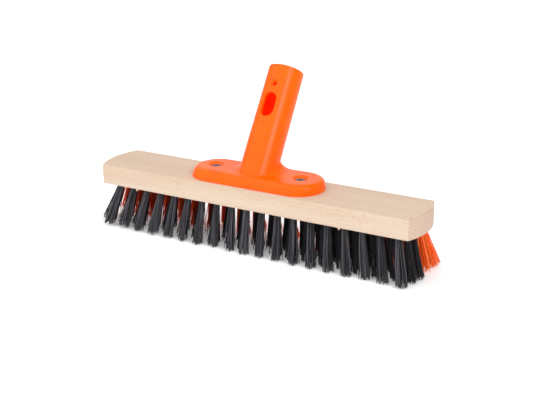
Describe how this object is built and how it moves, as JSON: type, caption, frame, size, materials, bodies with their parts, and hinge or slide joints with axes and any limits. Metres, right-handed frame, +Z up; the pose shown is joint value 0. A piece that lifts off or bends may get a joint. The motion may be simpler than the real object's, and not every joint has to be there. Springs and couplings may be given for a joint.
{
  "type": "push broom head",
  "caption": "Push broom head: wooden block with rows of black and orange bristle tufts and a tilted plastic handle socket screwed on top.",
  "frame": {"origin": "on the floor under the middle of the block, where the bristle tips stand", "axes": "+X along the block, -Y to the front, +Z up from the floor; the handle socket leans to +Y"},
  "size_m": [0.36, 0.1041, 0.1729],
  "materials": {
    "beech": "planed and sanded, unvarnished",
    "orange_plastic": "satin moulded",
    "screw_steel": "dark plated",
    "black_bristle": "satin filament",
    "orange_bristle": "satin filament"
  },
  "bodies": {
    "root": {"handle_socket": "orange_plastic", "row_1_tuft_01": "black_bristle", "row_1_tuft_02": "black_bristle", "row_1_tuft_03": "black_bristle", "row_1_tuft_04": "black_bristle", "row_1_tuft_05": "black_bristle", "row_1_tuft_06": "black_bristle", "row_1_tuft_07": "black_bristle", "row_1_tuft_08": "black_bristle", "row_1_tuft_09": "black_bristle", "row_1_tuft_10": "black_bristle", "row_1_tuft_11": "black_bristle", "row_1_tuft_12": "black_bristle", "row_1_tuft_13": "black_bristle", "row_1_tuft_14": "black_bristle", "row_1_tuft_15": "black_bristle", "row_1_tuft_16": "black_bristle", "row_1_tuft_17": "black_bristle", "row_1_tuft_18": "black_bristle", "row_1_tuft_19": "black_bristle", "row_2_inner_tufts": "black_bristle", "row_2_tuft_01": "black_bristle", "row_2_tuft_20": "black_bristle", "row_3_inner_tufts": "black_bristle", "row_3_tuft_01": "black_bristle", "row_3_tuft_21": "black_bristle", "row_4_inner_tufts": "orange_bristle", "row_4_tuft_01": "orange_bristle", "row_4_tuft_20": "orange_bristle", "row_5_tuft_01": "orange_bristle", "row_5_tuft_02": "orange_bristle", "row_5_tuft_03": "orange_bristle", "row_5_tuft_04": "orange_bristle", "row_5_tuft_05": "orange_bristle", "row_5_tuft_06": "orange_bristle", "row_5_tuft_07": "orange_bristle", "row_5_tuft_08": "orange_bristle", "row_5_tuft_09": "orange_bristle", "row_5_tuft_10": "orange_bristle", "row_5_tuft_11": "orange_bristle", "row_5_tuft_12": "orange_bristle", "row_5_tuft_13": "orange_bristle", "row_5_tuft_14": "orange_bristle", "row_5_tuft_15": "orange_bristle", "row_5_tuft_16": "orange_bristle", "row_5_tuft_17": "orange_bristle", "row_5_tuft_18": "orange_bristle", "row_5_tuft_19": "orange_bristle", "screw_left": "screw_steel", "screw_right": "screw_steel", "wooden_block": "beech"}
  },
  "joints": []
}
